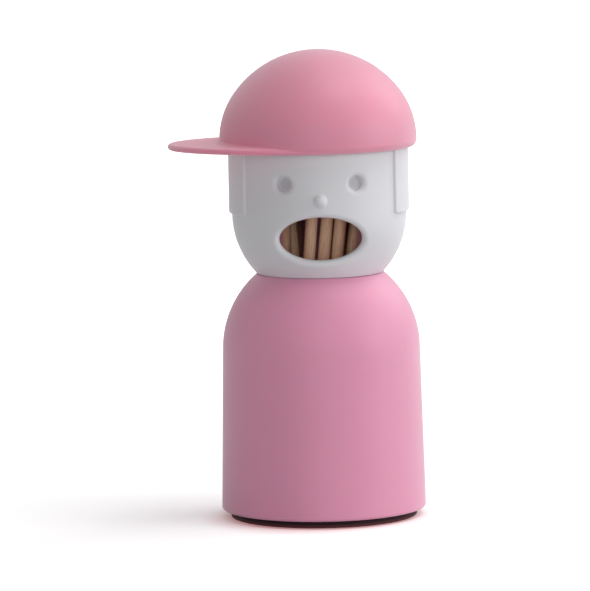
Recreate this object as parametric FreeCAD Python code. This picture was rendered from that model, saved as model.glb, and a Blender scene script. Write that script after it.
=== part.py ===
import FreeCAD, Part

import math
import os

from FreeCAD import Vector

os.makedirs("parts", exist_ok=True)

# A toothpick dispenser in the shape of a small figure with a cap. Millimetres, +Z up.
# The origin is the centre of the underside, on the table. The face looks along -Y.
# Inside, one cup runs from the base up through the neck to the top of the head and holds the picks.
# The length of the picks sets the height of the figure, and the body takes what cap and head leave.

# ---- the toothpicks ----
pick_length = 65.0
pick_diameter = 2.1
pick_point_length = 8.0
pick_point_radius = 0.3
pick_headroom = 7.6         # from the tips up to the inside of the cap, in the middle
pick_floor_gap = 0.1

# ---- the body and the neck ----
foot_standoff = 1.3         # the lower edge of the body above the table
shoulder_radius = 17.0
body_draft = 1.25           # degrees that the side wall leans out towards the table
body_wall = 1.4
body_edge_round = 0.5
neck_land = 1.1             # width of the ring on which head and body meet
neck_edge_round = 0.25
seam_gap = 0.08             # between head and body

# ---- the register that centres the head on the body ----
register_wall = 0.5
register_height = 0.8

# ---- the head ----
head_radius = 15.0
head_side_height = 11.2     # from the widest ring of the head up to the rim of the cap
head_wall = 1.4
head_floor = 2.1            # thickness of the ring above the neck
ledge_wall = 1.2
collar_inset = 1.4          # the collar stands this far in from the side of the head
collar_wall = 1.2
collar_height = 1.7

# ---- the face ----
mouth_width = 14.0
mouth_height = 7.55
mouth_rise = 6.97           # centre of the mouth above the neck
mouth_edge_round = 0.8
eye_angle = 24.7            # degrees from the middle of the face
eye_rise = 9.43             # above the centre of the mouth
eye_radius = 1.25           # of the flat floor of the dimple
eye_depth = 1.05
eye_edge_round = 0.85
eye_wall = 0.9              # the wall behind and round a dimple, where it stands out inside
nose_radius = 1.15
nose_rise = 6.58            # above the centre of the mouth
nose_sink = 0.1             # centre of the nose below the skin
nose_root_round = 0.2

# ---- the hair, a low relief round the back of the head ----
hair_relief = 0.5
hair_front_angle = 57.0     # degrees from the middle of the face to the front of the hair
hair_rise = 0.25            # lower edge above the widest ring of the head
hair_corner_round = 0.8
hair_edge_round = 0.28
hair_root = 0.3             # how deep the relief reaches into the wall
hair_root_round = 0.2       # of the corner between the relief and the skin

# ---- the cap ----
cap_height = 16.85          # from the rim to the top
cap_side_height = 1.36      # the side stands straight this far above the rim
cap_side_round = 14.0       # the side then turns into the dome on this radius
cap_wall = 1.25
dome_wall = 1.6             # a little thicker, so that the ring has a shoulder to stop at
cap_hair_gap = 0.2          # between the hair and the bore of the cap
cap_overlap = 0.8           # how far the head reaches up into the cap
cap_rim_round = 1.2
brim_reach = 25.8           # from the axis to the tip of the brim
brim_side_inset = 0.3       # the brim leaves the cap this far inside its widest line
brim_blend_reach = 11.0     # how far the brim runs on round the other side before it fades out
brim_thickness = 1.05
brim_edge_round = 0.5
brim_root_round = 0.9       # of the corner between the brim and the dome
brim_root_fade = 0.45       # the round narrows by this from the middle of the brim to its sides
brim_root_sink = 0.02       # and reaches this far into the brim and the dome

# ---- the friction ring in the cap ----
ring_height = 2.9
ring_skin = 0.9             # wall of the ring's hollow section
ring_rest_gap = 0.1         # between the ring and the ledge of the head
bead_height = 0.3           # of every snap bead
bead_slope = 0.55           # half the bead's width along the axis
bead_root = 0.2             # how deep a bead is rooted in its wall

# ---- the cup for the picks ----
cup_radius = 8.7            # bore of the straight part
cup_wall = 1.0
cup_floor = 1.2
cup_skirt = 2.3             # the floor stands this far up inside the cup's own foot
cup_flange = 1.2
flange_land = 2.35          # width of the flange round the mouth of the cup
cup_neck_gap = 0.1
flare_start = 0.3           # the cup widens from this far above the floor of the head
window_width = 13.1
window_height = 8.6
window_drop = 0.4           # centre of the window below the centre of the mouth
window_corner_round = 3.4
lead_in_round = 0.35

# ---- the base ----
plate_thickness = 1.3
plate_skirt_wall = 1.2
plate_skirt_height = 4.6
plate_recess = 0.1          # the plate sits this far above the edge of the body
boss_wall = 1.2
boss_height = 2.0
pad_inset = 0.1             # the pad is this much smaller than the plate
pad_edge_round = 0.2

# ---- clearances ----
fit_gap = 0.05              # per side between pieces that are fixed to each other
running_gap = 0.08          # per side where the cap turns on its ring and the ring slides on the collar

# ---- how the picks stand ----
pick_gap = 0.12             # least space between two picks, and between a pick and the cup
pick_play = 3.0             # how far the picks can rise under the closed cap
pick_count = 13
# the picks behind the mouth, each as far forward as it can stand: its place to the right at the
# middle of the mouth, and how far its upper tip stands to the right and to the back of its lower
# tip, all in parts of the cup's radius
front_picks = [
    (-0.19, 0.63, -0.39),
    (0.105, 0.78, -0.09),
    (0.37, 0.80, -0.10),
    (-0.695, 0.0, -0.45),
    (0.675, 1.07, 0.0),
    (-0.55, -0.55, -0.10),
]
forward_step = 0.05         # how finely a pick is pushed forward
row_step = 0.25             # the other picks are set out in rows, tried at this spacing
fan_shares = [0.3, 0.2, 0.1, 0.0]   # they fan out by these parts of their distance from the axis
free_strip_width = 4.6      # part of the cup left free at the back, for more picks
free_strip_depth = 4.6

# ---- sizes that follow ----
cup_outer = cup_radius + cup_wall
neck_bore = cup_outer + cup_neck_gap
neck_radius = neck_bore + neck_land
register_radius = neck_bore + register_wall
collar_radius = head_radius - collar_inset
flange_radius = collar_radius - fit_gap
cup_mouth_radius = flange_radius - flange_land
cap_bore = head_radius + hair_relief + cap_hair_gap
cap_radius = cap_bore + cap_wall

# from the table up to the tips of the picks and the top of the cap
plate_z = foot_standoff + plate_recess
plate_top_z = plate_z + plate_thickness
cup_foot_z = plate_top_z + fit_gap
cup_floor_z = cup_foot_z + cup_skirt + cup_floor
pick_low_z = cup_floor_z + pick_floor_gap
cap_top_z = pick_low_z + pick_length + pick_headroom + dome_wall

# from the top of the cap down to the shoulders of the body
rim_z = cap_top_z - cap_height
head_z = rim_z - head_side_height
head_base_z = head_z - math.sqrt(head_radius**2 - neck_radius**2)
neck_z = head_base_z - seam_gap
shoulder_z = neck_z - math.sqrt(shoulder_radius**2 - neck_radius**2)

ledge_z = rim_z + cap_overlap
collar_top_z = ledge_z + collar_height
flange_z = collar_top_z + fit_gap
flange_top_z = flange_z + cup_flange
head_floor_z = head_base_z + head_floor
flare_z = head_floor_z + flare_start
cap_side_z = rim_z + cap_side_height
ring_z = ledge_z + ring_rest_gap
ring_top_z = ring_z + ring_height
bead_z = ring_z + ring_height / 2

mouth_z = head_base_z + mouth_rise
nose_z = mouth_z + nose_rise
eye_z = mouth_z + eye_rise

lean = math.radians(body_draft)
side_top_radius = shoulder_radius * math.cos(lean)
side_top_z = shoulder_z + shoulder_radius * math.sin(lean)
foot_radius = side_top_radius + (side_top_z - foot_standoff) * math.tan(lean)
plug_bore = foot_radius - body_wall


# ---- helpers ----
def point(radius, z):
    """A point of a profile that is turned about the axis."""
    return Vector(radius, 0, z)


def line(start, end):
    """The straight edge between two points."""
    return Part.LineSegment(start, end).toShape()


def turned(edges):
    """Turns a closed profile about the axis."""
    return Part.Face(Part.Wire(edges)).revolve(Vector(0, 0, 0), Vector(0, 0, 1), 360)


def polygon_turned(corners):
    """Turns a profile of straight lines, given as (radius, z) corners, about the axis."""
    points = [point(radius, z) for radius, z in corners]
    return turned(Part.makePolygon(points + points[:1]).Edges)


def sphere_arc(radius, centre_z, start, end):
    """The arc from start to end on a sphere that is centred on the axis."""
    middle = (start + end) * 0.5 - Vector(0, 0, centre_z)
    middle = middle * (radius / middle.Length) + Vector(0, 0, centre_z)
    return Part.Arc(start, middle, end).toShape()


def ring_edges(shape, radius, z, slack=0.02):
    """The circular edges of a shape that lie at one radius and height."""
    return [
        e for e in shape.Edges
        if all(abs(math.hypot(p.x, p.y) - radius) < slack and abs(p.z - z) < slack for p in points_on(e))
    ]


def points_on(edge, steps=4):
    """Evenly spaced points along an edge, with its ends."""
    length = edge.LastParameter - edge.FirstParameter
    return [edge.valueAt(edge.FirstParameter + length * k / steps) for k in range(steps + 1)]


def facing(angle, radius, z):
    """A point on the figure at an angle from the middle of the face, counted to the right."""
    turn = math.radians(angle)
    return Vector(radius * math.sin(turn), -radius * math.cos(turn), z)


def bead(radius, z):
    """A snap bead of triangular section on a cylinder. It also cuts the groove for one."""
    root = radius - bead_root
    return polygon_turned([
        (root, z - bead_slope),
        (radius, z - bead_slope),
        (radius + bead_height, z),
        (radius, z + bead_slope),
        (root, z + bead_slope),
    ])


# ---- the body ----
def body_shell():
    """The drafted, round-shouldered shell, open below, with the register ring on its neck."""
    inner_radius = shoulder_radius - body_wall
    inner_top = point(inner_radius * math.cos(lean), shoulder_z + inner_radius * math.sin(lean))
    plug_top_z = plate_top_z + plate_skirt_height + fit_gap
    inner_foot_radius = inner_top.x + (inner_top.z - plug_top_z) * math.tan(lean)
    throat_z = shoulder_z + math.sqrt(inner_radius**2 - neck_bore**2)
    register_top_z = neck_z + register_height

    outer_foot = point(foot_radius, foot_standoff)
    outer_top = point(side_top_radius, side_top_z)
    outer_neck = point(neck_radius, neck_z)
    throat = point(neck_bore, throat_z)
    inner_foot = point(inner_foot_radius, plug_top_z)
    shell = turned([
        line(outer_foot, outer_top),
        sphere_arc(shoulder_radius, shoulder_z, outer_top, outer_neck),
        line(outer_neck, point(register_radius, neck_z)),
        line(point(register_radius, neck_z), point(register_radius, register_top_z)),
        line(point(register_radius, register_top_z), point(neck_bore, register_top_z)),
        line(point(neck_bore, register_top_z), throat),
        sphere_arc(inner_radius, shoulder_z, throat, inner_top),
        line(inner_top, inner_foot),
        line(inner_foot, point(plug_bore, plug_top_z)),
        line(point(plug_bore, plug_top_z), point(plug_bore, foot_standoff)),
        line(point(plug_bore, foot_standoff), outer_foot),
    ])
    shell = shell.cut(bead(plug_bore, plug_bead_z()))
    shell = shell.makeFillet(body_edge_round, ring_edges(shell, foot_radius, foot_standoff))
    return shell.makeFillet(neck_edge_round, ring_edges(shell, neck_radius, neck_z))


def plug_bead_z():
    """Height of the snap bead between the base plate and the body."""
    return plate_top_z + plate_skirt_height * 0.6


# ---- the base ----
def base_plate():
    """The plug that closes the body: a plate, a skirt with a snap bead, and a boss for the cup."""
    radius = plug_bore - fit_gap
    skirt_bore = radius - plate_skirt_wall
    skirt_top_z = plate_top_z + plate_skirt_height
    boss_radius = cup_radius - fit_gap
    boss_top_z = plate_top_z + boss_height
    plate = polygon_turned([
        (0, plate_z),
        (radius, plate_z),
        (radius, skirt_top_z),
        (skirt_bore, skirt_top_z),
        (skirt_bore, plate_top_z),
        (boss_radius, plate_top_z),
        (boss_radius, boss_top_z),
        (boss_radius - boss_wall, boss_top_z),
        (boss_radius - boss_wall, plate_top_z),
        (0, plate_top_z),
    ])
    return plate.fuse(bead(radius, plug_bead_z()))


def foot_pad():
    """The non-slip pad under the base plate, set back from the edge of the body."""
    radius = plug_bore - fit_gap - pad_inset
    pad = Part.makeCylinder(radius, plate_z)
    return pad.makeFillet(pad_edge_round, ring_edges(pad, radius, 0))


# ---- the cup ----
def pick_tube():
    """The cup: straight through body and neck, flared through the head, hung by its flange."""
    cup = polygon_turned([
        (0, cup_floor_z),
        (cup_radius, cup_floor_z),
        (cup_radius, flare_z),
        (cup_mouth_radius, flange_top_z),
        (flange_radius, flange_top_z),
        (flange_radius, flange_z),
        (flare_radius(flange_z) + cup_wall, flange_z),
        (cup_outer, flare_z),
        (cup_outer, cup_foot_z),
        (cup_radius, cup_foot_z),
        (cup_radius, cup_floor_z - cup_floor),
        (0, cup_floor_z - cup_floor),
    ])
    cup = cup.makeFillet(lead_in_round, ring_edges(cup, cup_mouth_radius, flange_top_z))
    return cup.cut(window())


def flare_radius(z):
    """Bore of the cup at a height above the straight part."""
    share = (z - flare_z) / (flange_top_z - flare_z)
    return cup_radius + max(share, 0) * (cup_mouth_radius - cup_radius)


def window():
    """The opening in the front of the cup, through which the picks show in the mouth."""
    depth = cup_mouth_radius + cup_wall + 1
    corner = Vector(-window_width / 2, -depth, mouth_z - window_drop - window_height / 2)
    box = Part.makeBox(window_width, depth, window_height, corner)
    across = [e for e in box.Edges if abs(e.BoundBox.YLength - depth) < 0.01]
    return box.makeFillet(window_corner_round, across)


# ---- the head ----
def head_shell():
    """The head: shell, hair relief, eye dimples, ball nose and the open mouth."""
    head = head_blank().fuse([hair(), eye_boss(-1), eye_boss(1)])
    head = head.makeFillet(hair_root_round, hair_foot(head))
    nose = Part.makeSphere(nose_radius, facing(0, head_radius - nose_sink, nose_z))
    head = head.fuse(nose.cut(Part.makeCylinder(head_radius - 0.5, 100)))
    head = head.makeFillet(nose_root_round, nose_root(head))
    head = head.cut(mouth())
    head = head.makeFillet(mouth_edge_round, mouth_rim(head))
    for side in (-1, 1):
        head = head.cut(eye(side))
        head = head.makeFillet(eye_edge_round, eye_rim(head, side))
    return head.removeSplitter()


def head_blank():
    """The turned shell of the head, from the neck ring up to the collar."""
    inner_radius = head_radius - head_wall
    floor_radius = math.sqrt(inner_radius**2 - (head_z - head_floor_z) ** 2)
    socket_radius = register_radius + fit_gap
    socket_z = head_base_z + register_height + fit_gap
    collar_bore = collar_radius - collar_wall
    lower_ledge_z = ledge_z - ledge_wall

    outer_neck = point(neck_radius, head_base_z)
    outer_side = point(head_radius, head_z)
    inner_side = point(inner_radius, head_z)
    inner_floor = point(floor_radius, head_floor_z)
    blank = turned([
        sphere_arc(head_radius, head_z, outer_neck, outer_side),
        line(outer_side, point(head_radius, ledge_z)),
        line(point(head_radius, ledge_z), point(collar_radius, ledge_z)),
        line(point(collar_radius, ledge_z), point(collar_radius, collar_top_z)),
        line(point(collar_radius, collar_top_z), point(collar_bore, collar_top_z)),
        line(point(collar_bore, collar_top_z), point(collar_bore, lower_ledge_z)),
        line(point(collar_bore, lower_ledge_z), point(inner_radius, lower_ledge_z)),
        line(point(inner_radius, lower_ledge_z), inner_side),
        sphere_arc(inner_radius, head_z, inner_side, inner_floor),
        line(inner_floor, point(neck_bore, head_floor_z)),
        line(point(neck_bore, head_floor_z), point(neck_bore, socket_z)),
        line(point(neck_bore, socket_z), point(socket_radius, socket_z)),
        line(point(socket_radius, socket_z), point(socket_radius, head_base_z)),
        line(point(socket_radius, head_base_z), outer_neck),
    ])
    return blank.makeFillet(neck_edge_round, ring_edges(blank, neck_radius, head_base_z))


def hair():
    """The relief round the back and sides, with rounded lower front corners and edges."""
    inner = head_radius - hair_root
    outer = head_radius + hair_relief
    low_z = head_z + hair_rise
    section = Part.Face(Part.makePolygon([
        point(inner, low_z),
        point(outer, low_z),
        point(outer, ledge_z),
        point(inner, ledge_z),
        point(inner, low_z),
    ]))
    relief = section.revolve(Vector(0, 0, 0), Vector(0, 0, 1), 360 - 2 * hair_front_angle)
    relief.rotate(Vector(0, 0, 0), Vector(0, 0, 1), -90 + hair_front_angle)
    corners = [
        e for e in relief.Edges
        if abs(e.BoundBox.ZMin - low_z) < 0.01 and abs(e.Length - (outer - inner)) < 0.01
    ]
    relief = relief.makeFillet(hair_corner_round, corners)
    proud = []
    for e in relief.Edges:
        outside = all(abs(math.hypot(p.x, p.y) - outer) < 0.01 for p in points_on(e))
        if outside and e.BoundBox.ZMin < ledge_z - 0.01:
            proud.append(e)
    return relief.makeFillet(hair_edge_round, proud)


def hair_foot(head):
    """The edges along which the relief meets the skin, in front and below."""
    front = math.radians(hair_front_angle)
    found = []
    for e in head.Edges:
        places = points_on(e)
        on_skin = all(abs(math.hypot(p.x, p.y) - head_radius) < 0.01 for p in places)
        beside = all(abs(math.atan2(abs(p.x), -p.y) - front) < 0.15 for p in places)
        below = all(abs(p.z - head_z - hair_rise) < 0.01 for p in places)
        if on_skin and (below or beside) and all(p.z < ledge_z + 0.01 for p in places) and e.Length > 0.1:
            found.append(e)
    return found


def near(edge, centre, reach):
    """Whether an edge lies wholly within a distance of a point."""
    return all((place - centre).Length < reach for place in points_on(edge))


def nose_root(head):
    """The edges along which the nose meets the skin."""
    centre = facing(0, head_radius, nose_z)
    return [e for e in head.Edges if near(e, centre, nose_radius * 1.8) and e.Length > 0.5]


def mouth():
    """The elliptical cutter that opens the mouth."""
    half_width = mouth_width / 2
    half_height = mouth_height / 2
    start = Vector(0, -head_radius - 1, mouth_z)
    side = start + Vector(half_width, 0, 0)
    top = start + Vector(0, 0, half_height)
    outline = Part.Wire(Part.Ellipse(side, top, start).toShape())
    return Part.Face(outline).extrude(Vector(0, head_radius - 1, 0))


def mouth_rim(head):
    """The outer edges of the mouth."""
    found = []
    for e in head.Edges:
        middle = points_on(e)[2]
        across = math.hypot(middle.x / (mouth_width / 2), (middle.z - mouth_z) / (mouth_height / 2))
        from_axis = math.hypot(middle.x, middle.y)
        if middle.z < head_z:
            from_axis = (middle - Vector(0, 0, head_z)).Length
        if middle.y < 0 and abs(across - 1) < 0.01 and abs(from_axis - head_radius) < 0.05:
            found.append(e)
    return found


def eye(side):
    """The round cutter of one eye: side is -1 for the left eye and 1 for the right one."""
    direction = facing(side * eye_angle, 1, 0)
    floor = facing(side * eye_angle, head_radius - eye_depth, eye_z)
    return Part.makeCylinder(eye_radius, eye_depth + 2, floor, direction)


def eye_boss(side):
    """The thicker wall behind one dimple, on the inside of the head."""
    direction = facing(side * eye_angle, 1, 0)
    inner_end = head_radius - eye_depth - eye_wall
    start = facing(side * eye_angle, inner_end, eye_z)
    return Part.makeCylinder(eye_radius + eye_wall, head_radius - head_wall / 2 - inner_end, start, direction)


def eye_rim(head, side):
    """The outer edge of one eye."""
    centre = facing(side * eye_angle, head_radius, eye_z)
    return [
        e for e in head.Edges
        if near(e, centre, eye_radius * 2)
        and all(abs(math.hypot(p.x, p.y) - head_radius) < 0.02 for p in points_on(e))
    ]


# ---- the cap ----
def cap_shell():
    """The cap: a domed shell with a flat brim on one side, and the bore and groove for the ring."""
    visor = brim().fuse(brim_root()).removeSplitter()
    outside = visor.fuse(dome_blank()).removeSplitter()
    bore_top_z = ring_top_z + ring_rest_gap
    bore = Part.makeCylinder(cap_bore, bore_top_z - rim_z + 1, Vector(0, 0, rim_z - 1))
    shell = outside.cut(dome(dome_wall, rim_z - 1)).cut(bore)
    return shell.cut(bead(cap_bore, bead_z))


def dome_centre():
    """Centre height and radius of the sphere that is the top of the dome.

    The sphere touches the rounding of the side, so the distance between their two centres is the
    difference of their radii.
    """
    rise = cap_height - cap_side_height
    inset = cap_radius - cap_side_round
    radius = (inset**2 + rise**2 - cap_side_round**2) / (2 * (rise - cap_side_round))
    return cap_top_z - radius, radius


def dome(wall, base_z):
    """The solid dome of the cap, made smaller by a wall, from a base up to the top."""
    centre_z, radius = dome_centre()
    side_centre = point(cap_radius - cap_side_round, cap_side_z)
    towards_side = side_centre - point(0, centre_z)
    join = point(0, centre_z) + towards_side * ((radius - wall) / towards_side.Length)
    side_start = side_centre + Vector(cap_side_round - wall, 0, 0)
    towards_join = (join - side_centre) + (side_start - side_centre)
    side_middle = side_centre + towards_join * ((cap_side_round - wall) / towards_join.Length)
    top = point(0, cap_top_z - wall)
    return turned([
        line(point(0, base_z), point(side_start.x, base_z)),
        line(point(side_start.x, base_z), side_start),
        Part.Arc(side_start, side_middle, join).toShape(),
        sphere_arc(radius - wall, centre_z, join, top),
        line(top, point(0, base_z)),
    ])


def dome_radius(z):
    """Radius of the outside of the dome at a height on the rounding of its side."""
    return cap_radius - cap_side_round + math.sqrt(cap_side_round**2 - (z - cap_side_z) ** 2)


def dome_blank():
    """The solid outside of the cap, with its rounded rim, before the brim and the bore."""
    blank = dome(0, rim_z)
    return blank.makeFillet(cap_rim_round, ring_edges(blank, cap_radius, rim_z))


def ellipse_between(first, second, centre):
    """The ellipse with its half axes at two points, given in either order of length."""
    if (first - centre).Length >= (second - centre).Length:
        return Part.Ellipse(first, second, centre)
    return Part.Ellipse(second, first, centre)


def quarter_of(ellipse, start, end):
    """The quarter of an ellipse between the ends of two of its half axes."""
    first, last = ellipse.parameter(start), ellipse.parameter(end)
    step = (last - first + math.pi) % (2 * math.pi) - math.pi
    low, high = (first, first + step) if step > 0 else (first + step, first)
    return Part.Arc(ellipse, low, high).toShape()


def brim_outline(inset):
    """The face that the brim covers, at the height of the rim, made smaller by an inset.

    Towards -X it is half an ellipse. On the other side of the cap it closes in, so that the edge of
    the brim fades into the rim.
    """
    half_width = cap_radius - brim_side_inset - inset
    centre = Vector(0, 0, rim_z)
    left, right = Vector(inset - brim_reach, 0, rim_z), Vector(brim_blend_reach - inset, 0, rim_z)
    front, back = Vector(0, -half_width, rim_z), Vector(0, half_width, rim_z)
    return Part.Face(Part.Wire([
        quarter_of(ellipse_between(left, front, centre), front, left),
        quarter_of(ellipse_between(left, back, centre), left, back),
        quarter_of(ellipse_between(right, back, centre), back, right),
        quarter_of(ellipse_between(right, front, centre), right, front),
    ]))


def brim():
    """The brim: a flat plate with a rounded edge, limited by its thickness."""
    edge_round = min(brim_edge_round, brim_thickness * 0.48)
    plate = brim_outline(0).extrude(Vector(0, 0, brim_thickness))
    rims = [e for e in plate.Edges if e.BoundBox.ZLength < 0.001]
    return plate.makeFillet(edge_round, rims)


def brim_root():
    """The rounded corner between the dome and the top of the brim, cut from a disc.

    The disc has a concave edge and stands off the axis towards the tip of the brim, so that the
    round is fullest there and runs out at the sides. It keeps to the flat top of the brim.
    """
    start_z = rim_z + brim_thickness - brim_root_sink
    low_z = start_z - brim_edge_round / 2
    side = dome_radius(start_z + brim_root_round) - brim_root_sink
    edge = side + brim_root_round - brim_root_fade
    turn = brim_root_round * math.sin(math.radians(45))
    foot = point(edge, start_z)
    middle = point(edge - turn, start_z + brim_root_round - turn)
    head = point(edge - brim_root_round, start_z + brim_root_round)
    disc = turned([
        line(point(0, low_z), point(edge - brim_edge_round / 2, low_z)),
        line(point(edge - brim_edge_round / 2, low_z), foot),
        Part.Arc(foot, middle, head).toShape(),
        line(head, point(0, head.z)),
        line(point(0, head.z), point(0, low_z)),
    ])
    disc.translate(Vector(-brim_root_fade, 0, 0))
    return disc.common(brim_outline(brim_edge_round).extrude(Vector(0, 0, head.z - rim_z)))


def cap_ring():
    """The friction ring: it snaps into the cap, which turns on it, and grips the collar."""
    inner = collar_radius + running_gap
    outer = cap_bore - running_gap
    ring = polygon_turned([
        (inner, ring_z),
        (outer, ring_z),
        (outer, ring_top_z),
        (outer - ring_skin, ring_top_z),
        (outer - ring_skin, ring_z + ring_skin),
        (inner + ring_skin * 0.6, ring_z + ring_skin),
        (inner + ring_skin * 0.6, ring_top_z),
        (inner, ring_top_z),
    ])
    return ring.fuse(bead(outer, bead_z))


# ---- the toothpicks ----
def toothpick(low, direction):
    """A round pick, pointed at both ends, from its lower tip along a direction."""
    half = pick_diameter / 2
    upper_point_z = pick_length - pick_point_length
    pick = polygon_turned([
        (0, 0),
        (pick_point_radius, 0),
        (half, pick_point_length),
        (half, upper_point_z),
        (pick_point_radius, pick_length),
        (0, pick_length),
    ])
    turn = FreeCAD.Rotation(Vector(0, 0, 1), direction)
    pick.Placement = FreeCAD.Placement(low, turn)
    return pick


def axis_gap(first, second):
    """The least distance between the axes of two picks, each given as (low, high) tips."""
    p, q = first[0], second[0]
    u, v, w = first[1] - p, second[1] - q, p - q
    a, b, c, d, e = u.dot(u), u.dot(v), v.dot(v), u.dot(w), v.dot(w)
    denominator = a * c - b * b
    s = 0.0 if denominator < 1e-9 else min(max((b * e - c * d) / denominator, 0), 1)
    t = min(max((b * s + e) / c, 0), 1)
    s = min(max((b * t - d) / a, 0), 1)
    return (w + u * s - v * t).Length


def radius_along(distance):
    """Radius of a pick at a distance from its lower tip."""
    from_end = min(distance, pick_length - distance)
    share = min(from_end / pick_point_length, 1)
    return pick_point_radius + share * (pick_diameter / 2 - pick_point_radius)


def fits_in_cup(pick):
    """Whether a pick stays inside the cup and under the dome, and out of the strip left free."""
    low, high = pick
    steps = 26
    strip_y = math.sqrt(cup_radius**2 - (free_strip_width / 2) ** 2) - free_strip_depth
    for k in range(steps + 1):
        place = low + (high - low) * (k / steps)
        room = radius_along(pick_length * k / steps) + pick_gap
        bore = flare_radius(min(place.z, flange_top_z))
        if math.hypot(place.x, place.y) + room > bore:
            return False
        if place.y + room > strip_y and abs(place.x) - room < free_strip_width / 2:
            return False
    centre_z, radius = dome_centre()
    raised = high + Vector(0, 0, pick_play - centre_z)
    return raised.Length + pick_point_radius + pick_gap < radius - dome_wall


def clear_of(pick, other):
    """Whether two picks stand clear of each other."""
    return axis_gap(pick, other) > pick_diameter + pick_gap


def pick_from(x, y, right, back):
    """The (low, high) tips of a pick that passes (x, y) at the height of the mouth.

    Its upper tip stands this far to the right and to the back of its lower tip.
    """
    rise = math.sqrt(pick_length**2 - right**2 - back**2)
    along = Vector(right, back, rise)
    low = Vector(x, y, mouth_z) - along * ((mouth_z - pick_low_z) / rise)
    return low, low + along


def add_pick(places, candidates):
    """Adds the first candidate that fits in the cup and stands clear of the picks in it."""
    for pick in candidates:
        if fits_in_cup(pick) and all(clear_of(pick, other) for other in places):
            places.append(pick)
            return


def pick_places():
    """The tips of every pick: first those behind the mouth, then others in rows, back to front."""
    places = []
    pushes = int(2 * cup_mouth_radius / forward_step)
    for front_pick in front_picks:
        x, right, back = (part * cup_radius for part in front_pick)
        add_pick(places, (
            pick_from(x, k * forward_step - cup_mouth_radius, right, back) for k in range(pushes)
        ))
    reach = int(cup_mouth_radius / row_step)
    for row in range(reach, -reach - 1, -1):
        for column in range(-reach, reach + 1):
            x, y = column * row_step, row * row_step
            if len(places) < pick_count:
                add_pick(places, (pick_from(x, y, share * x, share * y) for share in fan_shares))
    return places


# ---- every piece goes into a file of its own ----
def save(name, shape):
    """Writes the one solid of a shape and prints what it holds."""
    solid = shape.Solids[0] if len(shape.Solids) == 1 else shape
    solid.exportStep("parts/%s.step" % name)
    print("%-16s %9.2f mm3, %d solid, valid %s" % (name, shape.Volume, len(shape.Solids), shape.isValid()))


save("body_shell", body_shell())
save("base_plate", base_plate())
save("foot_pad", foot_pad())
save("pick_tube", pick_tube())
save("head_shell", head_shell())
save("cap_ring", cap_ring())
save("cap_shell", cap_shell())
for number, (low_tip, high_tip) in enumerate(pick_places(), start=1):
    save("toothpick_%02d" % number, toothpick(low_tip, high_tip - low_tip))
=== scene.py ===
import logging
import math
from dataclasses import dataclass
from enum import Enum

import bpy
import numpy as np
from mathutils import Matrix, Vector


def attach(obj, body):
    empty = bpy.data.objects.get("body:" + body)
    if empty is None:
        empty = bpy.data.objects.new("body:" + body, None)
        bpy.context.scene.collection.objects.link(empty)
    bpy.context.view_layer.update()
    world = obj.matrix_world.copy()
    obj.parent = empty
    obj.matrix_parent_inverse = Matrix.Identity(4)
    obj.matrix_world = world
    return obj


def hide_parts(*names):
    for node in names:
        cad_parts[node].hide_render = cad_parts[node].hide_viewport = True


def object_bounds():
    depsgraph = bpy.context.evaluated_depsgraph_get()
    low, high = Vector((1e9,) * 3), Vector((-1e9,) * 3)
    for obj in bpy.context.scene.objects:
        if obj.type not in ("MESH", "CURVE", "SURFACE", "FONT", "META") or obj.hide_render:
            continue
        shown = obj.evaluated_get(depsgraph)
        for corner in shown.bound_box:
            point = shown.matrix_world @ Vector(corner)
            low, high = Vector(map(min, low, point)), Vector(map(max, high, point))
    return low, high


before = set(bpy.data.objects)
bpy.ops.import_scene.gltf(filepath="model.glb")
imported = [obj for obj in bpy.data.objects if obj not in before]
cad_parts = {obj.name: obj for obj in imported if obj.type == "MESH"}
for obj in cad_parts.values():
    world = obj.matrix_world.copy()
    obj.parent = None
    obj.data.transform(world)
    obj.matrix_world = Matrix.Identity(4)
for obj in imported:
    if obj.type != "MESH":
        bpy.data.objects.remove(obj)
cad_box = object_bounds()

# A toothpick dispenser in the shape of a small figure with a cap, in the frame of its packed
# model: metres, +Z up, the origin on the table under the figure, the face towards -Y.
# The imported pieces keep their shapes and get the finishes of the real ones. The toothpicks are
# turned anew here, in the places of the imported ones, and a small studio stands round the figure.

log = logging.getLogger("dispenser")

MM = 0.001
WHITE = "#ffffff"
NOISE_SPAN = (0.3, 0.7)             # nearly all of the noise lies between these


class Body(Enum):
    """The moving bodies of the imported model."""

    FIGURE = "figure"
    RING = "ring"
    CAP = "cap"
    PICKS = "picks"


class Slot(Enum):
    """The material slots of the record."""

    PICK_WOOD = "pick_wood"


# ---- helpers for colours, nodes and meshes ----


def linear(code: str) -> tuple[float, float, float, float]:
    """Turns an sRGB colour into linear light.

    Args:
        code: the colour as "#rrggbb".

    Returns:
        Red, green and blue in linear light, and an alpha of 1.
    """
    shares = np.array([int(code[k:k + 2], 16) for k in (1, 3, 5)]) / 255
    light = np.where(shares <= 0.04045, shares / 12.92, ((shares + 0.055) / 1.055) ** 2.4)
    return (*light.tolist(), 1.0)


def add_node(
    tree: bpy.types.NodeTree,
    kind: str,
    inputs: dict[str | int, object] | None = None,
    **settings: object,
) -> bpy.types.Node:
    """Adds a node to a tree, with its settings, its values and its links.

    Args:
        tree: the node tree that gets the node.
        kind: the type of the node.
        inputs: what goes into its sockets, by name or place. A socket is linked, and
            anything else is set as the value.
        settings: the node's own properties.

    Returns:
        The new node.
    """
    node = tree.nodes.new(kind)
    for name, value in settings.items():
        setattr(node, name, value)
    for key, value in (inputs or {}).items():
        if isinstance(value, bpy.types.NodeSocket):
            tree.links.new(value, node.inputs[key])
        else:
            node.inputs[key].default_value = value
    return node


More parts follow.
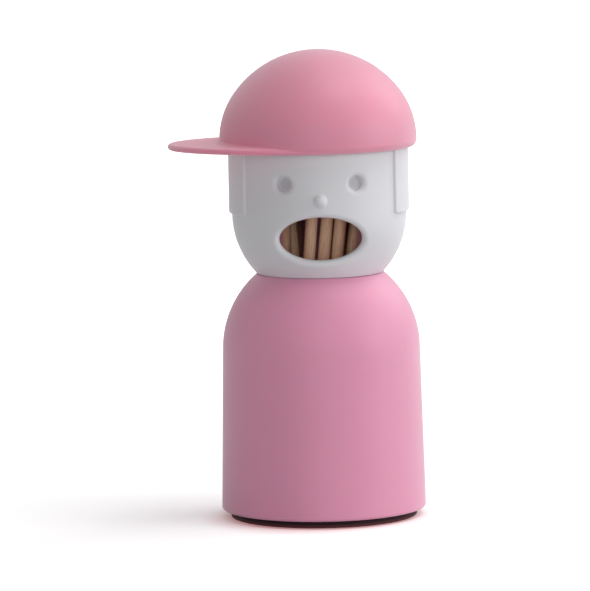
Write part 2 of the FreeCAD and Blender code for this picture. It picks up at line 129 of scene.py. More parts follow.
def empty_material(name: str) -> bpy.types.Material:
    """Makes a material with an empty node tree.

    Args:
        name: the name of the material.

    Returns:
        The material.
    """
    material = bpy.data.materials.new(name)
    material.use_nodes = True
    material.node_tree.nodes.clear()
    return material


def patches(
    tree: bpy.types.NodeTree,
    place: bpy.types.NodeSocket,
    size_mm: float,
    detail: float,
    low: float,
    high: float,
) -> bpy.types.NodeSocket:
    """Adds soft patches: noise whose usual span is carried to a range of its own.

    Args:
        tree: the node tree.
        place: the point where the patches are read, in metres.
        size_mm: the size of a patch.
        detail: how many finer layers it has.
        low: what the low end of the noise becomes.
        high: what the high end becomes.

    Returns:
        A value between the low and the high one.
    """
    values = {"Vector": place, "Scale": 1 / (size_mm * MM), "Detail": detail}
    noise = add_node(tree, "ShaderNodeTexNoise", values).outputs[0]
    values = {0: noise, 1: NOISE_SPAN[0], 2: NOISE_SPAN[1], 3: low, 4: high}
    return add_node(tree, "ShaderNodeMapRange", values).outputs[0]


def bands(count: int, around: int) -> np.ndarray:
    """Joins rings of points into bands of faces.

    Point j of ring i, its neighbour j + 1 and the same two of ring i + 1 are a face, where the
    last point of a ring has the first as its neighbour.

    Args:
        count: how many rings there are.
        around: how many points a ring has.

    Returns:
        The faces, as four point numbers each.
    """
    ring, step = np.meshgrid(np.arange(count - 1), np.arange(around), indexing="ij")
    here = ring * around + step
    beside = ring * around + (step + 1) % around
    return np.stack([here, beside, beside + around, here + around], axis=-1).reshape(-1, 4)


def closed_tube(name: str, rings: np.ndarray, ends: np.ndarray) -> bpy.types.Mesh:
    """Makes a closed surface from rings of points and the point at each end.

    Bands of faces join the rings, and a fan of triangles closes each end.

    Args:
        name: the name of the mesh.
        rings: the points, as ring, place round the ring, and coordinate.
        ends: the point before the first ring and the one after the last.

    Returns:
        The mesh, with smooth shading and its faces outwards where the rings turn with the
        right hand about the way they go.
    """
    count, around = rings.shape[:2]
    first = np.arange(around)
    second = (first + 1) % around
    last = (count - 1) * around
    low_end, high_end = np.full(around, count * around), np.full(around, count * around + 1)
    fans = np.concatenate([
        np.stack([low_end, second, first], axis=-1),
        np.stack([first + last, second + last, high_end], axis=-1),
    ])
    mesh = bpy.data.meshes.new(name)
    points = np.concatenate([rings.reshape(-1, 3), ends])
    mesh.from_pydata(points.tolist(), [], bands(count, around).tolist() + fans.tolist())
    mesh.shade_smooth()
    return mesh


def show(name: str, mesh: bpy.types.Mesh, material: bpy.types.Material) -> bpy.types.Object:
    """Puts a mesh into the scene at the origin, with its material.

    Args:
        name: the name of the piece.
        mesh: its mesh, which holds its place.
        material: its finish.

    Returns:
        The piece.
    """
    mesh.materials.append(material)
    piece = bpy.data.objects.new(name, mesh)
    bpy.context.scene.collection.objects.link(piece)
    return piece


def dress(node: str, body: Body, material: bpy.types.Material) -> None:
    """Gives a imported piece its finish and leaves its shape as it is.

    Args:
        node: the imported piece.
        body: the moving body that it is part of.
        material: its finish.
    """
    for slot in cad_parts[node].material_slots:
        slot.material = material
    log.info("%s, of the body %s, is finished in %s", node, body.value, material.name)


# ---- the finishes ----


@dataclass(frozen=True)
class MouldedPlastic:
    """Plastic moulded in a spark-eroded mould, coloured right through.

    The mould leaves a fine even grain, so the eye sees dull satin: a broad highlight that fades
    without an edge, and no mirror image. The melt leaves clouds of colour that barely show.
    """

    name: str
    colour: str
    roughness: float = 0.5
    ior: float = 1.54               # ABS
    sheen: float = 0.0              # pale sheen of the grain where light falls across it
    sheen_roughness: float = 0.5
    scatter: float = 0.0            # share of the light that travels below the skin
    scatter_mm: float = 1.0         # how far the red travels
    scatter_shares: tuple[float, float, float] = (1.0, 0.35, 0.4)   # red, green, blue: parts of it
    grain_mm: float = 0.32          # the real grain is a third of this and would not show
    grain_detail: float = 1.0
    grain_height_mm: float = 0.006
    cloud_mm: float = 16.0
    cloud_detail: float = 2.0
    cloud_share: float = 0.012      # how much lighter or darker a cloud is
    handled_mm: float = 9.0         # patches that fingers have polished a little
    handled_detail: float = 3.0
    handled_share: float = 0.025

    def painted_shade(
        self, tree: bpy.types.NodeTree, place: bpy.types.NodeSocket, colour: bpy.types.NodeSocket
    ) -> bpy.types.NodeSocket:
        """Adds painted shade to the plastic: none on a plain piece."""
        return colour

    def build(self) -> bpy.types.Material:
        """Makes the material.

        Returns:
            The material, with its patterns in millimetres on the piece's own coordinates.
        """
        material = empty_material(self.name)
        tree = material.node_tree
        place = add_node(tree, "ShaderNodeTexCoord").outputs["Object"]
        darker, lighter = 1 - self.cloud_share, 1 + self.cloud_share
        melt = patches(tree, place, self.cloud_mm, self.cloud_detail, darker, lighter)
        values = {"Value": melt, "Color": linear(self.colour)}
        colour = add_node(tree, "ShaderNodeHueSaturation", values).outputs["Color"]
        polished, dull = self.roughness - self.handled_share, self.roughness + self.handled_share
        values = {"Vector": place, "Scale": 1 / (self.grain_mm * MM), "Detail": self.grain_detail}
        grain = add_node(tree, "ShaderNodeTexNoise", values).outputs[0]
        values = {"Strength": 1.0, "Distance": self.grain_height_mm * MM, "Height": grain}
        relief = add_node(tree, "ShaderNodeBump", values).outputs["Normal"]
        shader = add_node(tree, "ShaderNodeBsdfPrincipled", {
            "Base Color": self.painted_shade(tree, place, colour),
            "Roughness": patches(tree, place, self.handled_mm, self.handled_detail, polished, dull),
            "Normal": relief,
            "IOR": self.ior,
            "Sheen Weight": self.sheen,
            "Sheen Roughness": self.sheen_roughness,
            "Subsurface Weight": self.scatter,
            "Subsurface Radius": self.scatter_shares,
            "Subsurface Scale": self.scatter_mm * MM,
        })
        add_node(tree, "ShaderNodeOutputMaterial", {"Surface": shader.outputs[0]})
        return material


@dataclass(frozen=True)
class EyedPlastic(MouldedPlastic):
    """The plastic of the head, with painted shade on the flat floor of each eye: a disc a little
    greyer that stands in for the shade in the recess.
    """

    # painted shade: the grey of each eye's recessed floor
    painted_eye_shade: str = "#c6c2c7"
    turn: float = 24.7              # degrees from the middle of the face to an eye
    height_mm: float = 58.6         # of the eyes above the table
    radius_mm: float = 1.12         # to where half of the painted shade is left
    soft_mm: float = 0.28           # how far it fades to either side of that
    front_mm: float = 10.0          # the painted shade lies this far in front of the head's axis

    def painted_shade(
        self, tree: bpy.types.NodeTree, place: bpy.types.NodeSocket, colour: bpy.types.NodeSocket
    ) -> bpy.types.NodeSocket:
        """Adds a disc of painted shade to each eye.

        One side is folded onto the other and turned until the eye looks along -Y, so that the
        distance from its axis is the length of what is left of the place across and upwards.

        Args:
            tree: the node tree.
            place: the point, in metres.
            colour: the colour of the plastic.

        Returns:
            The colour with the painted shade over it.
        """
        parts = add_node(tree, "ShaderNodeSeparateXYZ", {0: place}).outputs
        side = add_node(tree, "ShaderNodeMath", {0: parts["X"]}, operation="ABSOLUTE").outputs[0]
        folded = add_node(tree, "ShaderNodeCombineXYZ", {0: side, 1: parts["Y"], 2: parts["Z"]})
        facing = add_node(tree, "ShaderNodeMapping", {
            "Vector": folded.outputs[0],
            "Location": (0.0, 0.0, -self.height_mm * MM),
            "Rotation": (0.0, 0.0, -math.radians(self.turn)),
        }).outputs[0]
        values = {0: facing, 1: (1.0, 0.0, 1.0)}
        flat = add_node(tree, "ShaderNodeVectorMath", values, operation="MULTIPLY").outputs[0]
        off = add_node(tree, "ShaderNodeVectorMath", {0: flat}, operation="LENGTH").outputs["Value"]
        inner, outer = (self.radius_mm - self.soft_mm) * MM, (self.radius_mm + self.soft_mm) * MM
        values = {0: off, 1: inner, 2: outer, 3: 1.0, 4: 0.0}
        disc = add_node(tree, "ShaderNodeMapRange", values).outputs[0]
        values = {0: parts["Y"], 1: -self.front_mm * MM}
        face = add_node(tree, "ShaderNodeMath", values, operation="LESS_THAN").outputs[0]
        # painted shade: where the grey discs of the eyes lie
        painted_eye_shade = add_node(tree, "ShaderNodeMath", {0: disc, 1: face}, operation="MULTIPLY").outputs[0]
        values = {0: painted_eye_shade, 6: colour, 7: linear(self.painted_eye_shade)}
        return add_node(tree, "ShaderNodeMix", values, data_type="RGBA").outputs[2]


@dataclass(frozen=True)
class MouldedRubber:
    """Soft thermoplastic rubber, moulded with a coarse grip texture.

    It is matt and nearly black, with patches of dust, and its lower outer edge is painted paler and
    redder: painted bounce light from the table.
    """

    name: str
    colour: str
    roughness: float = 0.72
    ior: float = 1.5
    specular: float = 0.25          # the grip texture swallows half of the gloss
    grip_mm: float = 0.6            # pitch of the grip texture
    grip_height_mm: float = 0.03
    dust: str = "#43262b"
    dust_mm: float = 5.0            # patches of dust that rubber picks up
    dust_detail: float = 4.0
    dust_share: float = 0.2
    painted_edge_light: str = "#6b3c40"           # painted bounce light: the lower edge, paler where light comes up from the table
    painted_edge_light_mm: tuple[float, float] = (0.15, 0.65)     # heights: painted bounce light below one, none above the other
    rim_mm: tuple[float, float] = (15.4, 15.8)      # from the axis: not within one, past the other

    def build(self) -> bpy.types.Material:
        """Makes the material.

        Returns:
            The material, with its patterns in millimetres on the piece's own coordinates.
        """
        material = empty_material(self.name)
        tree = material.node_tree
        place = add_node(tree, "ShaderNodeTexCoord").outputs["Object"]
        dusty = patches(tree, place, self.dust_mm, self.dust_detail, 0.0, self.dust_share)
        values = {0: dusty, 6: linear(self.colour), 7: linear(self.dust)}
        dust = add_node(tree, "ShaderNodeMix", values, data_type="RGBA").outputs[2]

        # painted bounce light: the lower outer edge is made paler and redder
        height = add_node(tree, "ShaderNodeSeparateXYZ", {0: place}).outputs["Z"]
        values = {0: height, 1: self.painted_edge_light_mm[0] * MM, 2: self.painted_edge_light_mm[1] * MM, 3: 1.0, 4: 0.0}
        edge_light_below = add_node(tree, "ShaderNodeMapRange", values).outputs[0]
        values = {0: place, 1: (1.0, 1.0, 0.0)}
        flat = add_node(tree, "ShaderNodeVectorMath", values, operation="MULTIPLY").outputs[0]
        out = add_node(tree, "ShaderNodeVectorMath", {0: flat}, operation="LENGTH").outputs["Value"]
        values = {0: out, 1: self.rim_mm[0] * MM, 2: self.rim_mm[1] * MM}
        edge = add_node(tree, "ShaderNodeMapRange", values).outputs[0]
        painted_edge_light = add_node(tree, "ShaderNodeMath", {0: edge_light_below, 1: edge}, operation="MULTIPLY").outputs[0]
        values = {0: painted_edge_light, 6: dust, 7: linear(self.painted_edge_light)}
        colour = add_node(tree, "ShaderNodeMix", values, data_type="RGBA").outputs[2]

        values = {"Vector": place, "Scale": 1 / (self.grip_mm * MM)}
        cells = add_node(tree, "ShaderNodeTexVoronoi", values).outputs["Distance"]
        values = {"Strength": 1.0, "Distance": self.grip_height_mm * MM, "Height": cells}
        relief = add_node(tree, "ShaderNodeBump", values).outputs["Normal"]
        shader = add_node(tree, "ShaderNodeBsdfPrincipled", {
            "Base Color": colour,
            "Roughness": self.roughness,
            "Normal": relief,
            "IOR": self.ior,
            "Specular IOR Level": self.specular,
        })
        add_node(tree, "ShaderNodeOutputMaterial", {"Surface": shader.outputs[0]})
        return material


@dataclass(frozen=True)
class TurnedBirch:
    """Birch, split into rods, turned between rollers and left bare.

    The eye sees pale wood with long fine fibres, a few short dark vessels, and faint bands where
    the growth rings cross the rod. Bare wood is dry, with a dull sheen along the fibres.
    The pattern lies in the rod's own space, which the meshes carry as an attribute.
    """

    name: str
    pale: str
    dark: str
    vessel: str
    space: str = "rod_space"        # across, across and along the rod, in metres
    detail: float = 3.0             # finer layers of each pattern
    fibre_mm: float = 0.16          # real fibres are a fifth of this and would not show
    fibre_length_mm: float = 9.0
    fibre_height_mm: float = 0.02
    ring_mm: float = 1.3            # spacing of the growth rings
    ring_length_mm: float = 60.0
    grown_span: tuple[float, float] = (0.75, 1.3)   # fibres and rings added up: pale, and dark
    vessel_mm: float = 0.09
    vessel_length_mm: float = 1.6
    vessel_span: tuple[float, float] = (0.62, 0.72)     # only the peaks of the noise are vessels
    vessel_share: float = 0.8
    roughness: float = 0.62
    roughness_share: float = 0.08   # smoother on a fibre, rougher beside it
    ior: float = 1.55
    scatter: float = 0.7            # share of the light that travels inside the wood
    scatter_mm: float = 1.8         # how far the red travels
    scatter_shares: tuple[float, float, float] = (1.0, 0.55, 0.35)  # red, green, blue: parts of it

    def stretched(
        self, tree: bpy.types.NodeTree, place: bpy.types.NodeSocket, across_mm: float, along_mm: float
    ) -> bpy.types.NodeSocket:
        """Adds noise whose clouds are drawn out along the rod.

        Args:
            tree: the node tree.
            place: the point in the rod's own space.
            across_mm: the size of the clouds across the rod.
            along_mm: their length.

        Returns:
            The noise, from 0 to 1.
        """
        scale = (1 / across_mm, 1 / across_mm, 1 / along_mm)
        values = {"Vector": place, "Scale": scale}
        drawn = add_node(tree, "ShaderNodeMapping", values, vector_type="POINT").outputs[0]
        values = {"Vector": drawn, "Scale": 1 / MM, "Detail": self.detail}
        return add_node(tree, "ShaderNodeTexNoise", values).outputs[0]

    def build(self) -> bpy.types.Material:
        """Makes the material.

        Returns:
            The material, with its patterns in millimetres in the rod's own space.
        """
        material = empty_material(self.name)
        tree = material.node_tree
        space = add_node(tree, "ShaderNodeAttribute", attribute_name=self.space).outputs["Vector"]
        fibres = self.stretched(tree, space, self.fibre_mm, self.fibre_length_mm)
        rings = self.stretched(tree, space, self.ring_mm, self.ring_length_mm)
        vessels = self.stretched(tree, space, self.vessel_mm, self.vessel_length_mm)

        grown = add_node(tree, "ShaderNodeMath", {0: fibres, 1: rings}, operation="ADD").outputs[0]
        values = {0: grown, 1: self.grown_span[0], 2: self.grown_span[1], 3: 0.0, 4: 1.0}
        shade = add_node(tree, "ShaderNodeMapRange", values).outputs[0]
        values = {0: shade, 6: linear(self.pale), 7: linear(self.dark)}
        wood = add_node(tree, "ShaderNodeMix", values, data_type="RGBA").outputs[2]
        low, high = self.vessel_span
        values = {0: vessels, 1: low, 2: high, 3: 0.0, 4: self.vessel_share}
        opened = add_node(tree, "ShaderNodeMapRange", values).outputs[0]
        values = {0: opened, 6: wood, 7: linear(self.vessel)}
        colour = add_node(tree, "ShaderNodeMix", values, data_type="RGBA").outputs[2]

        values = {"Strength": 1.0, "Distance": self.fibre_height_mm * MM, "Height": fibres}
        relief = add_node(tree, "ShaderNodeBump", values).outputs["Normal"]
        smooth, rough = self.roughness - self.roughness_share, self.roughness + self.roughness_share
        values = {0: fibres, 1: NOISE_SPAN[0], 2: NOISE_SPAN[1], 3: smooth, 4: rough}
        roughness = add_node(tree, "ShaderNodeMapRange", values).outputs[0]
        shader = add_node(tree, "ShaderNodeBsdfPrincipled", {
            "Base Color": colour,
            "Roughness": roughness,
            "Normal": relief,
            "IOR": self.ior,
            "Subsurface Weight": self.scatter,
            "Subsurface Radius": self.scatter_shares,
            "Subsurface Scale": self.scatter_mm * MM,
        })
        add_node(tree, "ShaderNodeOutputMaterial", {"Surface": shader.outputs[0]})
        return material


# ---- the sub-assemblies ----


@dataclass(frozen=True)
class Base:
    """The body, the plate that closes it and the pad under it, with the cup that stands inside."""

    shell: MouldedPlastic = MouldedPlastic(
        "moulded_abs_pink_satin", "#f19fbf", sheen=0.4, scatter=0.3, scatter_mm=2.0
    )
    pad: MouldedRubber = MouldedRubber("moulded_rubber_plum_black", "#17070f")

    def build(self) -> None:
        """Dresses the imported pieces."""
        pink = self.shell.build()
        for node in ("body_shell", "pick_tube", "base_plate"):
            dress(node, Body.FIGURE, pink)
        dress("foot_pad", Body.FIGURE, self.pad.build())


@dataclass(frozen=True)
class Head:
    """The head, with its hair, eyes, nose and mouth in one moulding."""

    shell: EyedPlastic = EyedPlastic(
        "moulded_abs_white_satin", "#e9e9ed", ior=1.43, scatter=0.08, scatter_mm=1.5
    )

    def build(self) -> None:
        """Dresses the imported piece."""
        dress("head_shell", Body.FIGURE, self.shell.build())


@dataclass(frozen=True)
class Cap:
    """The cap with its brim, and the friction ring that it turns on."""

    shell: MouldedPlastic = MouldedPlastic(
        "moulded_abs_rose_satin", "#f49ab4", sheen=0.4, scatter=0.6, scatter_mm=2.6
    )
    ring: MouldedPlastic = MouldedPlastic(
        "moulded_polypropylene_natural", "#e9e6dd", 0.34, ior=1.49, scatter=0.35, scatter_mm=2.5
    )

    def build(self) -> None:
        """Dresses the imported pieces."""
        dress("cap_shell", Body.CAP, self.shell.build())
        dress("cap_ring", Body.RING, self.ring.build())


@dataclass(frozen=True)
class RodPlace:
    """Where a rod stands and how large it is, in metres."""

    low: np.ndarray                 # the lower tip
    high: np.ndarray                # the upper tip
    radius: float                   # of the shaft
    blunt: float                    # of the flat disc at a tip
    point_length: float

    @property
    def length(self) -> float:
        """From tip to tip."""
        return np.linalg.norm(self.high - self.low)

    @property
    def along(self) -> np.ndarray:
        """The direction from the lower to the upper tip."""
        return (self.high - self.low) / self.length


@dataclass(frozen=True)
class Toothpicks:
    """Round birch toothpicks with a point at each end, one for each packed one.

    A rod stands where its packed one does and stays within it. Its place, length, thickness and
    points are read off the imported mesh.
    """

    wood: TurnedBirch = TurnedBirch("turned_birch_bare", "#f4d0b2", "#d4a37f", "#94603f")
    disc_depth_mm: float = 0.02     # points this near to an end belong to its disc
    full_share: float = 0.98        # the shaft starts where this share of the radius is reached
    around: int = 28
    tip_stations: int = 8
    tip_start: float = 0.1          # the first of them, as a share of the last before it is squared
    cone_stations: int = 14
    corner_mm: tuple[float, ...] = (0.15, 0.4, 0.8)     # stations past the end of the point
    shaft_stations: int = 46
    tip_round_mm: float = 0.3       # how far from the end a point starts to round over
    corner_soft_mm: float = 0.035   # how soft the corner between point and shaft is
    flats: tuple[int, int] = (3, 7)                     # waves round the rod, from the rollers
    flat_share: float = 0.05        # how deep they are, in parts of the radius
    twist: float = 0.5              # how far the flats turn along the rod, at most, in radians
    wavers: tuple[float, float] = (150.0, 420.0)        # waves along the rod, in radians a metre
    waver_share: float = 0.02

    def nodes(self) -> list[str]:
        """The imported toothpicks, by number."""
        return sorted(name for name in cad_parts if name.startswith("toothpick_"))

    def measure(self, node: str) -> RodPlace:
        """Reads a rod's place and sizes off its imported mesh.

        The direction in which the points spread most is the axis. The end discs' centres are
        the tips, the largest distance from the axis is the radius, and the first points at
        nearly that distance are where the lower point ends.

        Args:
            node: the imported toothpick.

        Returns:
            Its place and sizes.
        """
        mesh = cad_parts[node].data
        points = np.empty(len(mesh.vertices) * 3, np.float32)
        mesh.vertices.foreach_get("co", points)
        points = points.reshape(-1, 3).astype(float)
        guess = np.linalg.svd(points - points.mean(axis=0), full_matrices=False)[2][0]
        guess *= np.sign(guess[2])
        height = points @ guess
        slack = self.disc_depth_mm * MM
        low_disc = points[height < height.min() + slack]
        high_disc = points[height > height.max() - slack]
        low, high = low_disc.mean(axis=0), high_disc.mean(axis=0)
        along = (high - low) / np.linalg.norm(high - low)
        distance = (points - low) @ along
        from_axis = np.linalg.norm(points - low - distance[:, None] * along, axis=1)
        radius = from_axis.max()
        point_length = distance[from_axis > self.full_share * radius].min()
        blunt = np.linalg.norm(low_disc - low, axis=1).max()
        return RodPlace(low, high, radius, blunt, point_length)

    def stations(self, length: float, point_length: float) -> np.ndarray:
        """Distances from the lower tip at which the rod gets a ring of points.

        They stand close together where the tip rounds over, by the square of their share, and
        evenly along the points and the shaft.

        Args:
            length: the length of the rod.
            point_length: the length of a point.

        Returns:
            The distances, in metres, from the lower tip up.
        """
        tip = self.tip_round_mm * MM * np.linspace(self.tip_start, 1, self.tip_stations) ** 2
        cone = np.linspace(self.tip_round_mm * MM, point_length, self.cone_stations)[1:]
        corner = point_length + np.array(self.corner_mm) * MM
        low = np.concatenate([tip, cone, corner])
        shaft = np.linspace(low[-1], length - low[-1], self.shaft_stations)[1:-1]
        return np.concatenate([low, shaft, length - low[::-1]])

    def waves(self, first: np.ndarray, second: np.ndarray) -> np.ndarray:
        """Two waves added up, from 0 to 1: 0.5 + 0.3 sin(first) + 0.2 sin(second)."""
        return 0.5 + 0.3 * np.sin(first) + 0.2 * np.sin(second)

    def rod(self, node: str, number: int, wood: bpy.types.Material) -> bpy.types.Object:
        """Turns one toothpick.

        With t the distance from the nearer tip, the radius is the soft minimum of the cone's and
        the shaft's, -k ln(exp(-cone / k) + exp(-shaft / k)), times the quarter circle
        sqrt(1 - (1 - t / round) ** 2) near the tip. Waves round the rod and along it take a
        little off, so that no two rods are alike and none is thicker than its packed one.

        Args:
            node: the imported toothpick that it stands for.
            number: its number, which sets its waves and its piece of wood.
            wood: its finish.

        Returns:
            The rod.
        """
        chance = np.random.default_rng(number)
        place = self.measure(node)
        length, along = place.length, place.along
        side = np.cross(along, [1.0, 0.0, 0.0])
        side /= np.linalg.norm(side)
        across = np.cross(along, side)

        far = self.stations(length, place.point_length)[:, None]
        angle = np.linspace(0, 2 * math.pi, self.around, endpoint=False)[None, :]
        tip = np.minimum(far, length - far)
        cone = place.blunt + (place.radius - place.blunt) * tip / place.point_length
        soft = self.corner_soft_mm * MM
        smooth = -soft * np.logaddexp(-cone / soft, -place.radius / soft)
        inside = np.clip(1 - tip / (self.tip_round_mm * MM), 0, 1)
        phase = chance.uniform(0, 2 * math.pi, 4)
        twist = chance.uniform(-self.twist, self.twist) * far / length
        few, many = self.flats
        flats = self.waves(few * angle + twist + phase[0], many * angle - twist + phase[1])
        slow, fast = self.wavers
        wavers = self.waves(slow * far + phase[2], fast * far + phase[3])
        shave = 1 - self.flat_share * flats - self.waver_share * wavers
        reach = smooth * np.sqrt(1 - inside**2) * shave

        spokes = np.cos(angle)[..., None] * side + np.sin(angle)[..., None] * across
        rings = place.low + far[..., None] * along + reach[..., None] * spokes
        mesh = closed_tube("pick_%02d" % number, rings, np.stack([place.low, place.high]))

        own = np.stack([
            reach * np.cos(angle),
            reach * np.sin(angle),
            np.broadcast_to(far, reach.shape),
        ], axis=-1).reshape(-1, 3)
        own = np.concatenate([own, [[0, 0, 0], [0, 0, length]]]) + chance.uniform(0, 1, 3)
        space = mesh.attributes.new(self.wood.space, "FLOAT_VECTOR", "POINT")
        space.data.foreach_set("vector", own.astype(np.float32).ravel())
        return show("birch_pick_%02d" % number, mesh, wood)

    def build(self) -> None:
        """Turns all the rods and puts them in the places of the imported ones."""
        wood = self.wood.build()
        for number, node in enumerate(self.nodes(), start=1):
            rod = self.rod(node, number, wood)
            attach(rod, Body.PICKS.value)
            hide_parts(node)
            log.info("%s stands for %s", rod.name, node)


# ---- the studio ----


@dataclass(frozen=True)
class Softbox:
    """A soft rectangular lamp that faces the figure.

    It stands `turn` degrees round from the front, to the right, and `rise` degrees up.
    """

    name: str
    turn: float
    rise: float
    width: float
    height: float
    watts: float
    reach: float = 0.9              # from the middle of the figure, in metres

    def build(self, aim: Vector) -> None:
        """Sets up the lamp.

        Args:
            aim: the point that it faces.
        """
        lamp = bpy.data.lights.new(self.name, "AREA")
        lamp.shape = "RECTANGLE"
        lamp.size = self.width
        lamp.size_y = self.height
        lamp.energy = self.watts
        turn, rise = math.radians(self.turn), math.radians(self.rise)
        outwards = Vector((
            math.sin(turn) * math.cos(rise),
            -math.cos(turn) * math.cos(rise),
            math.sin(rise),
        ))
        stand = bpy.data.objects.new(self.name, lamp)
        stand.location = aim + outwards * self.reach
        stand.rotation_euler = outwards.to_track_quat("Z", "Y").to_euler()
        bpy.context.scene.collection.objects.link(stand)


@dataclass(frozen=True)
class LongLens:
    """A camera with a long lens, in front of the figure and a little above it."""

    lens: float = 327.8             # and the sensor's width, in millimetres
    sensor: float = 36.0
    distance: float = 0.92066       # in front of the axis, in metres
    height: float = 0.14279
    aside: float = -0.000077        # to the right
    yaw: float = 0.0047             # in radians, to the left
    pitch: float = 0.1132           # downwards
    roll: float = 0.0176
    orbit: float = 0.9              # degrees round the figure, to its left
    far_clip: float = 50.0

    def build(self) -> None:
        """Sets up the camera and makes it the scene's own."""
        camera = bpy.data.cameras.new("long_lens")
        camera.lens = self.lens
        camera.sensor_width = self.sensor
        camera.clip_end = self.far_clip
        stand = bpy.data.objects.new("long_lens", camera)
        ahead = Vector((
            -math.sin(self.yaw) * math.cos(self.pitch),
            math.cos(self.yaw) * math.cos(self.pitch),
            -math.sin(self.pitch),
        ))
        facing = ahead.to_track_quat("-Z", "Y").to_matrix().to_4x4()
        spot = Matrix.Translation((self.aside, -self.distance, self.height))
        round_figure = Matrix.Rotation(-math.radians(self.orbit), 4, "Z")
        stand.matrix_world = round_figure @ spot @ facing @ Matrix.Rotation(-self.roll, 4, "Z")
        bpy.context.scene.collection.objects.link(stand)
        bpy.context.scene.camera = stand


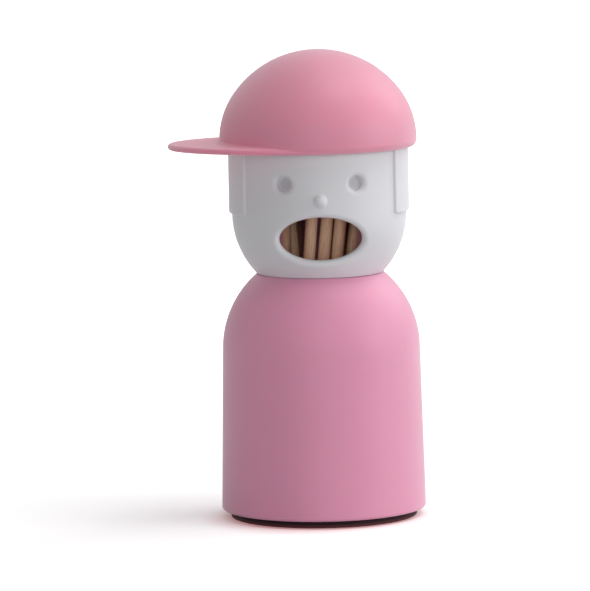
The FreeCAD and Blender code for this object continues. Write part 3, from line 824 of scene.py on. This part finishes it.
@dataclass(frozen=True)
class Studio:
    """A white table that runs on into a white backdrop, with soft lamps round it."""

    lamps: tuple[Softbox, ...] = (
        Softbox("beside_right", turn=70, rise=12.4, width=0.35, height=0.46, watts=2.2),
        Softbox("above_right", turn=70, rise=70, width=0.5, height=0.5, watts=2.45),
        Softbox("behind_right", turn=120, rise=35, width=0.5, height=0.5, watts=2.15),
        Softbox("in_front", turn=0, rise=10, width=0.5, height=0.5, watts=1.05),
    )
    camera: LongLens = LongLens()
    ambient: float = 0.27           # strength of the light from all round
    table_seen: str = WHITE         # the paper as it shows
    table_lit: str = "#c8c8c8"      # and as it lights the figure
    painted_bounce_and_shade: str = "#8c5656"   # painted pink bounce light and painted shade: the paper's lift at the foot, lower than round it and pink
    lift_near: str = "#a9a9a9"      # round the figure
    lift_far: str = WHITE           # and away from it
    contact_spot: tuple[float, float, float] = (0.0, -0.003, 0.0)
    contact_reach: tuple[float, float] = (0.0145, 0.0215)   # from that spot, in metres, over which the painted pink light and shade give way
    far_reach: tuple[float, float] = (0.06, 0.35)           # from the axis
    table_radius: float = 6.0
    table_start: float = 0.05       # share of the innermost ring
    table_rings: int = 24
    table_spokes: int = 48

    def seen(self, tree: bpy.types.NodeTree) -> bpy.types.NodeSocket:
        """Finds out whether a ray is one that shows the backdrop.

        Args:
            tree: the node tree.

        Returns:
            1 for a ray from the camera, in gloss or through glass, and 0 for one that lights.
        """
        path = add_node(tree, "ShaderNodeLightPath").outputs
        values = {0: path["Is Camera Ray"], 1: path["Is Glossy Ray"]}
        shown = add_node(tree, "ShaderNodeMath", values, operation="MAXIMUM").outputs[0]
        values = {0: shown, 1: path["Is Transmission Ray"]}
        return add_node(tree, "ShaderNodeMath", values, operation="MAXIMUM").outputs[0]

    def world(self) -> None:
        """Makes the light from all round, which shows as a white backdrop."""
        world = bpy.data.worlds.new("white_backdrop")
        world.use_nodes = True
        tree = world.node_tree
        tree.nodes.clear()
        light = add_node(tree, "ShaderNodeBackground", {0: linear(WHITE), 1: self.ambient}).outputs[0]
        white = add_node(tree, "ShaderNodeBackground", {0: linear(WHITE), 1: 1.0}).outputs[0]
        both = add_node(tree, "ShaderNodeMixShader", {0: self.seen(tree), 1: light, 2: white})
        add_node(tree, "ShaderNodeOutputWorld", {0: both.outputs[0]})
        bpy.context.scene.world = world

    def paper(self) -> bpy.types.Material:
        """Makes matt white paper that keeps shadows and shows white elsewhere.

        What lifts it to white changes with the distance from the spot at the foot, and then with the
        distance from the axis. At the foot the lift is pink and lower: painted pink bounce light and
        painted shade.

        Returns:
            The material.
        """
        material = empty_material("matt_white_paper")
        tree = material.node_tree
        place = add_node(tree, "ShaderNodeTexCoord").outputs["Object"]
        values = {0: place, 1: self.contact_spot}
        near = add_node(tree, "ShaderNodeVectorMath", values, operation="DISTANCE").outputs["Value"]
        far = add_node(tree, "ShaderNodeVectorMath", {0: place}, operation="LENGTH").outputs["Value"]
        # painted pink bounce light and painted shade on the paper at the foot
        lift = linear(self.painted_bounce_and_shade)
        for distance, (start, end), colour in (
            (near, self.contact_reach, self.lift_near),
            (far, self.far_reach, self.lift_far),
        ):
            share = add_node(tree, "ShaderNodeMapRange", {0: distance, 1: start, 2: end}).outputs[0]
            values = {0: share, 6: lift, 7: linear(colour)}
            lift = add_node(tree, "ShaderNodeMix", values, data_type="RGBA").outputs[2]
        lit = add_node(tree, "ShaderNodeBsdfDiffuse", {0: linear(self.table_lit)}).outputs[0]
        paper = add_node(tree, "ShaderNodeBsdfDiffuse", {0: linear(self.table_seen)}).outputs[0]
        white = add_node(tree, "ShaderNodeEmission", {0: lift}).outputs[0]
        lifted = add_node(tree, "ShaderNodeAddShader", {0: paper, 1: white}).outputs[0]
        shader = add_node(tree, "ShaderNodeMixShader", {0: self.seen(tree), 1: lit, 2: lifted})
        add_node(tree, "ShaderNodeOutputMaterial", {0: shader.outputs[0]})
        return material

    def table(self) -> None:
        """Makes a round table top from rings of points, with one face in the middle.

        The rings go from the edge inwards with r = table_radius * share ** 2, so they stand
        closer together near the figure.
        """
        share = np.linspace(self.table_start, 1, self.table_rings)[::-1, None]
        angle = np.linspace(0, 2 * math.pi, self.table_spokes, endpoint=False)[None, :]
        radius = self.table_radius * share**2
        height = np.zeros_like(radius * angle)
        rings = np.stack([radius * np.cos(angle), radius * np.sin(angle), height], axis=-1)
        count, around = rings.shape[:2]
        middle = (count - 1) * around + np.arange(around)
        faces = bands(count, around).tolist() + [middle.tolist()]
        mesh = bpy.data.meshes.new("table")
        mesh.from_pydata(rings.reshape(-1, 3).tolist(), [], faces)
        show("table", mesh, self.paper())

    def build(self) -> None:
        """Sets up table, backdrop, lamps and camera."""
        low, high = cad_box
        aim = (low + high) / 2
        for lamp in self.lamps:
            lamp.build(aim)
        self.world()
        self.table()
        self.camera.build()
        bpy.context.scene.view_settings.view_transform = "Standard"
        log.info("the studio has %d lamps", len(self.lamps))


def main() -> None:
    """Dresses the dispenser, turns its toothpicks and sets up the studio."""
    logging.basicConfig(level=logging.INFO, format="%(name)s: %(message)s")
    for part in (Base(), Head(), Cap(), Toothpicks(), Studio()):
        part.build()


if __name__ == "__main__":
    main()
